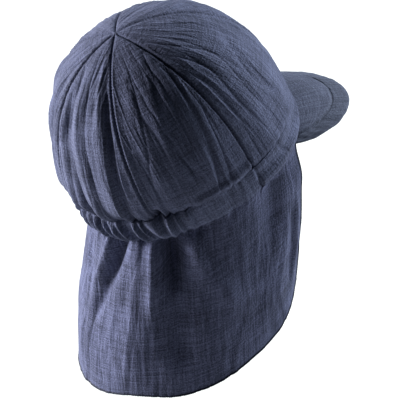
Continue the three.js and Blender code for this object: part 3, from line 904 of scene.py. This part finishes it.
class CAP_OT_front_band(Operator):
    """Make the smooth band over the forehead"""

    bl_idname = "cap.front_band"
    bl_label = "Front band"

    def execute(self, context):
        crown, band, _, _ = sizes()
        up = np.linspace(0, 1, 25)[:, None]
        across = np.linspace(0, 1, 301)[None, :]
        angle = mix(-crown.seam_front, crown.seam_front, across) + 0 * up
        height = band.height * up + 0 * across
        form = crown_form(angle, climb_at(height))
        arc = angle * crown.rim_side
        relief = 0.0004 * crinkles(arc, height * 2, 71)
        relief = relief - 0.0007 * ridge(height, 0.0010) - 0.0002 * ridge(height - band.height, 0.0010)
        relief = relief + 0.0015 * ridge(height - 0.0048, 0.0038) + 0.0003 * ridge(height - 0.0172, 0.0022)
        relief = relief - 0.0006 * ridge(height - 0.0115, 0.0040)
        ends = crown.seam_front - np.abs(angle)
        relief = relief - band.end_groove * ridge(ends * crown.rim_side, 0.0012)
        out = outward(angle)
        outer = worn(form + out * (band.front_proud + relief)[..., None], crown.tilt)
        inner = worn(form + out * (band.front_proud - band.front_wall), crown.tilt)
        uv = np.stack([arc, height], axis=-1)
        cloth = muslin("band muslin", context.scene.cap_colours.band, 0.45, 5.0)
        finish_piece(sheet_mesh("brow_band", outer, inner, uv), cloth, "band_muslin", "front_band")
        return {"FINISHED"}


def casing_relief(angle, up):
    """Height of the casing's outer face over the crown's foot: pleats, swell and pinched edges."""
    crown, band, _, _ = sizes()
    side = side_angle(angle)
    arc = angle * mean_rim()
    gathered = smooth(side, band.gather_start, band.gather_full)
    swell = np.sin(HALF_TURN * np.clip(up, 0, 1)) ** 0.6
    pleats = pleat_height(side, up)
    small = lattice_noise(arc / 0.0030 + 1.5 * up, up * 1.3, 33)
    bulges = band.casing_bulge * swell * (0.5 + 0.5 * pleats)
    bulges = bulges + band.pleat_rise * (0.55 + 0.45 * swell) * (pleats - 0.55)
    pinched = band.pinch * (ridge(up, 0.10) + ridge(up - 1, 0.10)) * (1.25 - 0.7 * np.minimum(pleats, 1))
    ribs = band.rib * lattice_noise(arc / 0.0046, up * 0.8, 35)
    ribs = ribs + band.rib / 2 * lattice_noise(arc / 0.0019, up * 1.4, 37)
    hatch = 0.00012 * lattice_noise(arc / 0.006, up * 9, 36)
    flat = ribs + hatch - 0.0004 * (ridge(up, 0.06) + ridge(up - 1, 0.06))
    face = mix(flat, bulges - pinched + 0.00035 * small, gathered)
    face = face - waist(angle, up * band.height) - tuck_depth(side, up * band.height)
    ends = (side - crown.seam_front) * mean_rim()
    return band.casing_proud + face - band.end_groove * ridge(ends, 0.0012)


class CAP_OT_back_band(Operator):
    """Make the gathered casing with the elastic in it"""

    bl_idname = "cap.back_band"
    bl_label = "Back band"

    def execute(self, context):
        crown, band, _, _ = sizes()
        up = np.linspace(0, 1, 37)[:, None]
        across = np.linspace(0, 1, 901)[None, :]
        angle = mix(crown.seam_front, FULL_TURN - crown.seam_front, across) + 0 * up
        height = band.height * up + 0 * across
        form = crown_form(angle, climb_at(height))
        out = outward(angle)
        relief = casing_relief(angle, height / band.height)
        outer = worn(form + out * relief[..., None], crown.tilt)
        depth = np.minimum(lowest_near(relief, LINING_STEP), band.casing_proud) - band.casing_wall
        inner = worn(form + out * depth[..., None], crown.tilt)
        uv = np.stack([angle * crown.rim_side * 1.2, height], axis=-1)
        # The casing's colour is its muslin lightened as painted light, which brightens the shade in its
        # pleats
        cloth = muslin("casing muslin lightened as painted light", context.scene.cap_colours.casing, 0.5, 7.0)
        finish_piece(sheet_mesh("gathered_casing", outer, inner, uv), cloth, "band_muslin", "back_band")
        return {"FINISHED"}


# Peak


def peak_reach(sideways):
    """Length of the peak from the rim, from 0 at one corner over the tip to the other corner."""
    peak = sizes()[2]
    return peak.length * np.maximum(1 - np.abs(sideways) ** peak.bluntness, 0) ** (1 / peak.shoulder)


def peak_point(sideways, along, depth):
    """Point of the peak: sideways -1 to 1, along 0 at the rim to 1 at the edge, depth under the top."""
    crown, band, peak, _ = sizes()
    sideways, along = np.broadcast_arrays(sideways, along)
    angle = peak.angle * sideways
    reach = peak_reach(sideways)
    run = along * reach - 0.0018 * (1 - along)
    fan = unit(mix(np.array([0.0, -1.0, 0.0]), outward(angle), peak.fan))
    slope = peak.droop + peak.curl * sideways**2
    point = crown_form(angle, 0 * angle) + outward(angle) * band.front_proud
    point = point + fan * (run * np.cos(slope))[..., None]
    arch = peak.arch * np.sin(HALF_TURN * along) * reach / peak.length
    point[..., 2] += arch - crown.seam_gap - run * np.sin(slope) - depth
    return worn(point, crown.tilt)


def peak_relief(sideways, along):
    """(Height of the top face, thickness) of the peak, from the raised middle to the puckered border."""
    peak = sizes()[2]
    reach = np.maximum(peak_reach(sideways), 0.002)
    inner = 1 - peak.border / reach
    step = peak.step / reach
    raised = 1 - smooth(along, inner - step / 4, inner + step)
    wall = mix(peak.edge_wall, peak.wall, raised)
    lip = np.maximum((along - 1) / 0.03 + 1, 0)
    half_round = 0.5 * peak.edge_wall * (1 - np.sqrt(np.clip(1 - lip**2, 0, 1)))
    groove = 0.0007 * ridge((along - inner - 0.8 * step) * reach, 0.0008)
    across = sideways * peak.angle * peak.length * 2.2
    border = smooth(along, inner, inner + 2 * step)
    puckers = peak.pucker * lattice_noise(across / 0.0035, along * 3, 51) * border
    slanted = sideways * 0.055 + along * 0.02
    cloth = 0.0004 * crinkles(slanted, along * peak.length, 52) * raised
    top = puckers + cloth - groove - (peak.wall - wall)
    return top - half_round, wall - 2 * half_round


class CAP_OT_peak(Operator):
    """Make the soft peak with its raised middle and puckered border"""

    bl_idname = "cap.peak"
    bl_label = "Peak"

    def execute(self, context):
        sideways = np.sin(np.linspace(-HALF_TURN / 2, HALF_TURN / 2, 265))[None, :]
        along = np.sin(np.linspace(-0.05, HALF_TURN / 2, 91))[:, None]
        top, wall = peak_relief(sideways, along)
        outer = peak_point(sideways, along, -top)
        inner = peak_point(sideways, along, wall - top)
        colours = context.scene.cap_colours
        uv = np.stack([outer[..., 0] * 1.1, along * 0.042 + 0 * outer[..., 0]], axis=-1)
        piece = sheet_mesh("soft_peak", outer, inner, uv)
        border = muslin("peak border muslin", colours.peak_border, 0.0, 9.0)
        finish_piece(piece, border, "peak_muslin", "peak")
        piece.data.materials.append(muslin("peak middle muslin", colours.peak, 0.0, 11.0))
        peak = sizes()[2]
        gap = (1 - along[:-1]) * peak_reach(sideways[:, :-1])
        inside = (gap > peak.border + 0.0004).ravel()
        slots = np.zeros(len(piece.data.polygons), int)
        slots[: len(inside)] = inside
        piece.data.polygons.foreach_set("material_index", slots)
        return {"FINISHED"}


# Neck flap


def flap_half_width():
    crown, _, peak, _ = sizes()
    return (HALF_TURN - peak.angle) * mean_rim() - crown.seam_gap


def flap_point(run, drop, depth):
    """Point of the hanging flap: run along the rim from the middle of the back, drop below the rim."""
    crown, band, peak, flap = sizes()
    run, drop, depth = np.broadcast_arrays(run, drop, depth)
    fallen = drop / flap.length
    spread = 1 + flap.spread / flap_half_width() * fallen
    angle = HALF_TURN - run * spread / mean_rim()
    side = side_angle(angle)
    back = backness(angle)
    settled = 1 - 0.7 * smooth(fallen, 0.7, 1.0)
    far_side = ridge(angle - math.radians(203), 0.4)
    relief = flap.fold * drawn_height(FLAP_FOLDS, side, fallen) * settled - 0.0012 * back**4
    relief = relief - 0.0040 * far_side * (1 - smooth(fallen, 0.1, 0.8))
    relief = relief + flap.crease * drawn_height(FLAP_CREASES, side, fallen)
    gathered = smooth(side, band.gather_start, band.gather_full)
    pleats = gathered * (pleat_height(side, 0 * drop) - PLEAT_MIDDLE)
    relief = relief + flap.crinkle * crinkles(run * spread, drop, 62)
    free = smooth(drop, 0, flap.fold_start)
    front_edge = 1 - smooth(side, peak.angle, crown.seam_front)
    flare = flap.flare_back * back**2 * smooth(fallen, 0, 0.9)
    spreading = smooth(fallen, 0, 0.2) - 0.55 * smooth(fallen, 0.4, 0.9)
    flare = flare + flap.flare_front * front_edge * spreading
    out = outward(angle)
    sewn = (1 - smooth(drop, 0, 0.012)) * (side > crown.seam_front)
    edge = mix(band.front_proud, casing_relief(angle, 0 * angle), sewn) - flap.inset
    edge = edge - 0.0020 * gathered * ridge(drop - 0.004, 0.005)
    point = crown_form(angle, 0 * angle) + out * (edge - depth)[..., None]
    point[..., 2] -= crown.seam_gap / 3
    level = unit(out * np.array([1.0, 1.0, 0.0]))
    pulled = flap.gather * pleats * np.exp(-drop / band.gather_reach) * smooth(drop, -0.001, 0.004)
    hung = worn(point, crown.tilt) + level * (relief * free + pulled + flare)[..., None]
    shorter = 0.33 * smooth(side, 1.5, 2.2) + ridge(side - 2.47, 0.36) - 1.0 * ridge(angle - 3.5, 0.25)
    hung[..., 2] -= drop * (1 - flap.short_back * shorter)
    return hung


def flap_rows(inset, straight, curved):
    """(drop, half width) of rows down the flap, set in from its cut edge, that follow the round corners."""
    flap = sizes()[3]
    half, deep, corner = flap_half_width() - inset, flap.length - inset, flap.corner - inset
    turn = np.linspace(0, HALF_TURN / 2, curved + 1)
    upper = np.linspace(0, deep - corner, straight, endpoint=False)
    drop = np.concatenate([upper, deep - corner + corner * np.sin(turn)])
    width = np.concatenate([np.full(straight, half), half - corner + corner * np.cos(turn)])
    return drop, width


class CAP_OT_neck_flap(Operator):
    """Make the neck flap, a sheet of muslin that hangs from the band"""

    bl_idname = "cap.neck_flap"
    bl_label = "Neck flap"

    def execute(self, context):
        crown, _, _, flap = sizes()
        drop, width = flap_rows(0.8 * flap.hem_width, 99, 33)
        run = width[:, None] * np.linspace(1, -1, 421)[None, :]
        drop = drop[:, None] + 0 * run
        outer = flap_point(run, drop, 0.0)
        inner = flap_point(run, drop, 1.3 * crown.cloth)
        cloth = muslin("flap muslin", context.scene.cap_colours.flap, 0.8, 12.0)
        piece = sheet_mesh("flap_cloth", outer, inner, np.stack([run, drop], axis=-1))
        finish_piece(piece, cloth, "flap_muslin", "neck_flap")
        return {"FINISHED"}


class CAP_OT_flap_hem(Operator):
    """Make the rolled hem with its overlock thread"""

    bl_idname = "cap.flap_hem"
    bl_label = "Flap hem"

    def execute(self, context):
        crown, _, _, flap = sizes()
        outer_drop, outer_width = flap_rows(0, 320, 200)
        inner_drop, inner_width = flap_rows(flap.hem_width, 320, 200)
        middle = np.linspace(1, -1, 1201)[1:-1]
        edge = []
        for drop, width in ((outer_drop, outer_width), (inner_drop, inner_width)):
            run = np.concatenate([width, middle * width[-1], -width[::-1]])
            edge.append((run, np.concatenate([drop, np.full(len(middle), drop[-1]), drop[::-1]])))
        sides = 10
        turn = np.arange(sides) * FULL_TURN / sides
        path = flap_point(edge[0][0], edge[0][1], 0.0)
        along = np.concatenate([[0], np.cumsum(np.linalg.norm(np.diff(path, axis=0), axis=1))])
        wrap = np.abs(np.sin(HALF_TURN * (along[:, None] / flap.hem_pitch + 0.35 * np.sin(turn)[None, :])))
        girth = 0.82 + 0.22 * wrap
        inward = 0.5 - 0.5 * np.cos(turn)[None, :] * girth
        depth = crown.cloth / 2 - flap.hem_wall / 2 * np.sin(turn)[None, :] * girth
        run = mix(edge[0][0][:, None], edge[1][0][:, None], inward)
        drop = mix(edge[0][1][:, None], edge[1][1][:, None], inward)
        points = flap_point(run, drop, depth)
        rings = len(points)
        index = np.arange(rings * sides).reshape(rings, sides)
        after = np.roll(index, -1, axis=1)
        quads = np.stack([index[:-1], after[:-1], after[1:], index[1:]], -1).reshape(-1, 4)
        caps = np.stack([index[0, ::-1], index[-1]])
        uv = np.stack(np.broadcast_arrays(turn[None, :] * flap.hem_wall / 2, along[:, None]), -1)
        piece = mesh_object("rolled_hem", points.reshape(-1, 3), [quads, caps], uv.reshape(-1, 2))
        material = thread("overlock thread", context.scene.cap_colours.thread)
        finish_piece(piece, material, "hem_thread", "flap_hem")
        return {"FINISHED"}


# Stage


# Lamps: name, direction as shares of the view's right, up and towards the camera, distance, size,
# beam in degrees, power in watts and colour
LAMPS = (
    ("key light", (-0.95, 0.20, 0.00), 2.5, 1.0, 170, 124, (1.0, 0.99, 0.97)),
    ("far light", (-0.80, 0.25, -0.50), 2.5, 1.0, 170, 80, (1.0, 0.99, 0.97)),
    ("top light", (0.60, 0.75, -0.25), 2.5, 1.0, 170, 82, (0.94, 1.0, 1.0)),
    ("side light", (0.90, 0.35, -0.10), 2.5, 1.0, 170, 40, (0.92, 1.0, 1.02)),
)


def view_axes(azimuth, elevation):
    """(right, up, back) of a camera that looks at the cap."""
    back = Vector(
        (
            math.sin(azimuth) * math.cos(elevation),
            -math.cos(azimuth) * math.cos(elevation),
            math.sin(elevation),
        )
    )
    right = Vector((math.cos(azimuth), math.sin(azimuth), 0))
    return right, back.cross(right), back


def area_light(name, place, target, size, beam, power, tint):
    lamp = bpy.data.lights.new(name, "AREA")
    lamp.shape = "DISK"
    lamp.size = size
    lamp.spread = math.radians(beam)
    lamp.energy = power
    lamp.color = tint
    holder = bpy.data.objects.new(name, lamp)
    holder.location = place
    holder.rotation_euler = (target - place).to_track_quat("-Z", "Y").to_euler()
    bpy.context.scene.collection.objects.link(holder)


class CAP_OT_stage(Operator):
    """Make the floor, the lights and the camera"""

    bl_idname = "cap.stage"
    bl_label = "Stage"

    def execute(self, context):
        scene = context.scene
        stage = scene.cap_stage
        right, up, back = view_axes(stage.azimuth, stage.elevation)
        camera = bpy.data.objects.new("camera", bpy.data.cameras.new("camera"))
        camera.data.sensor_width = 36
        camera.data.lens = stage.lens
        camera.location = back * stage.distance
        aim = right * stage.aim_right - up * stage.aim_down - back
        camera.rotation_euler = aim.to_track_quat("-Z", "Y").to_euler()
        scene.collection.objects.link(camera)
        scene.camera = camera
        low = CAD_BOX[0][2] - stage.floor_drop
        bpy.ops.mesh.primitive_circle_add(vertices=96, radius=20, fill_type="NGON", location=(0, 0, low))
        floor = context.object
        floor.name = "floor"
        paper = bpy.data.materials.new("pale floor")
        paper.use_nodes = True
        paper.node_tree.nodes["Principled BSDF"].inputs["Base Color"].default_value = (0.62, 0.62, 0.62, 1)
        paper.node_tree.nodes["Principled BSDF"].inputs["Roughness"].default_value = 0.9
        floor.data.materials.append(paper)
        world = bpy.data.worlds.new("studio")
        world.use_nodes = True
        world.node_tree.nodes["Background"].inputs["Color"].default_value = (0.7, 0.95, 1.05, 1)
        world.node_tree.nodes["Background"].inputs["Strength"].default_value = 0.03
        scene.world = world
        scene.view_settings.view_transform = "Standard"
        middle = Vector((0, 0, -0.03))
        for name, (to_right, to_up, to_camera), reach, size, beam, power, tint in LAMPS:
            aim = (right * to_right + up * to_up + back * to_camera).normalized()
            area_light(name, middle + aim * reach, middle, size, beam, power, tint)
        return {"FINISHED"}


class CAP_PT_sidebar(Panel):
    """Lists the pieces of the cap and their sizes"""

    bl_idname = "CAP_PT_sidebar"
    bl_label = "Legionnaire cap"
    bl_space_type = "VIEW_3D"
    bl_region_type = "UI"
    bl_category = "Cap"

    def draw(self, context):
        for operator in OPERATORS:
            self.layout.operator(operator.bl_idname)
        for name in GROUPS:
            group = getattr(context.scene, name)
            box = self.layout.box()
            box.label(text=group.bl_rna.description)
            for key in group.__annotations__:
                box.prop(group, key)


GROUPS = {
    "cap_crown": CapCrownSizes,
    "cap_bands": CapBandSizes,
    "cap_peak": CapPeakSizes,
    "cap_flap": CapFlapSizes,
    "cap_colours": CapColours,
    "cap_stage": CapStage,
}
OPERATORS = (
    CAP_OT_crown,
    CAP_OT_topstitching,
    CAP_OT_front_band,
    CAP_OT_back_band,
    CAP_OT_peak,
    CAP_OT_flap_hem,
    CAP_OT_neck_flap,
    CAP_OT_stage,
)


def register():
    for kind in (*GROUPS.values(), *OPERATORS, CAP_PT_sidebar):
        bpy.utils.register_class(kind)
    for name, kind in GROUPS.items():
        setattr(bpy.types.Scene, name, PointerProperty(type=kind))


def unregister():
    for name in GROUPS:
        delattr(bpy.types.Scene, name)
    for kind in reversed((*GROUPS.values(), *OPERATORS, CAP_PT_sidebar)):
        bpy.utils.unregister_class(kind)


def main():
    register()
    bpy.ops.cap.stage()
    bpy.ops.cap.crown()
    bpy.ops.cap.topstitching()
    bpy.ops.cap.front_band()
    bpy.ops.cap.back_band()
    bpy.ops.cap.peak()
    bpy.ops.cap.flap_hem()
    bpy.ops.cap.neck_flap()


if __name__ == "__main__":
    main()
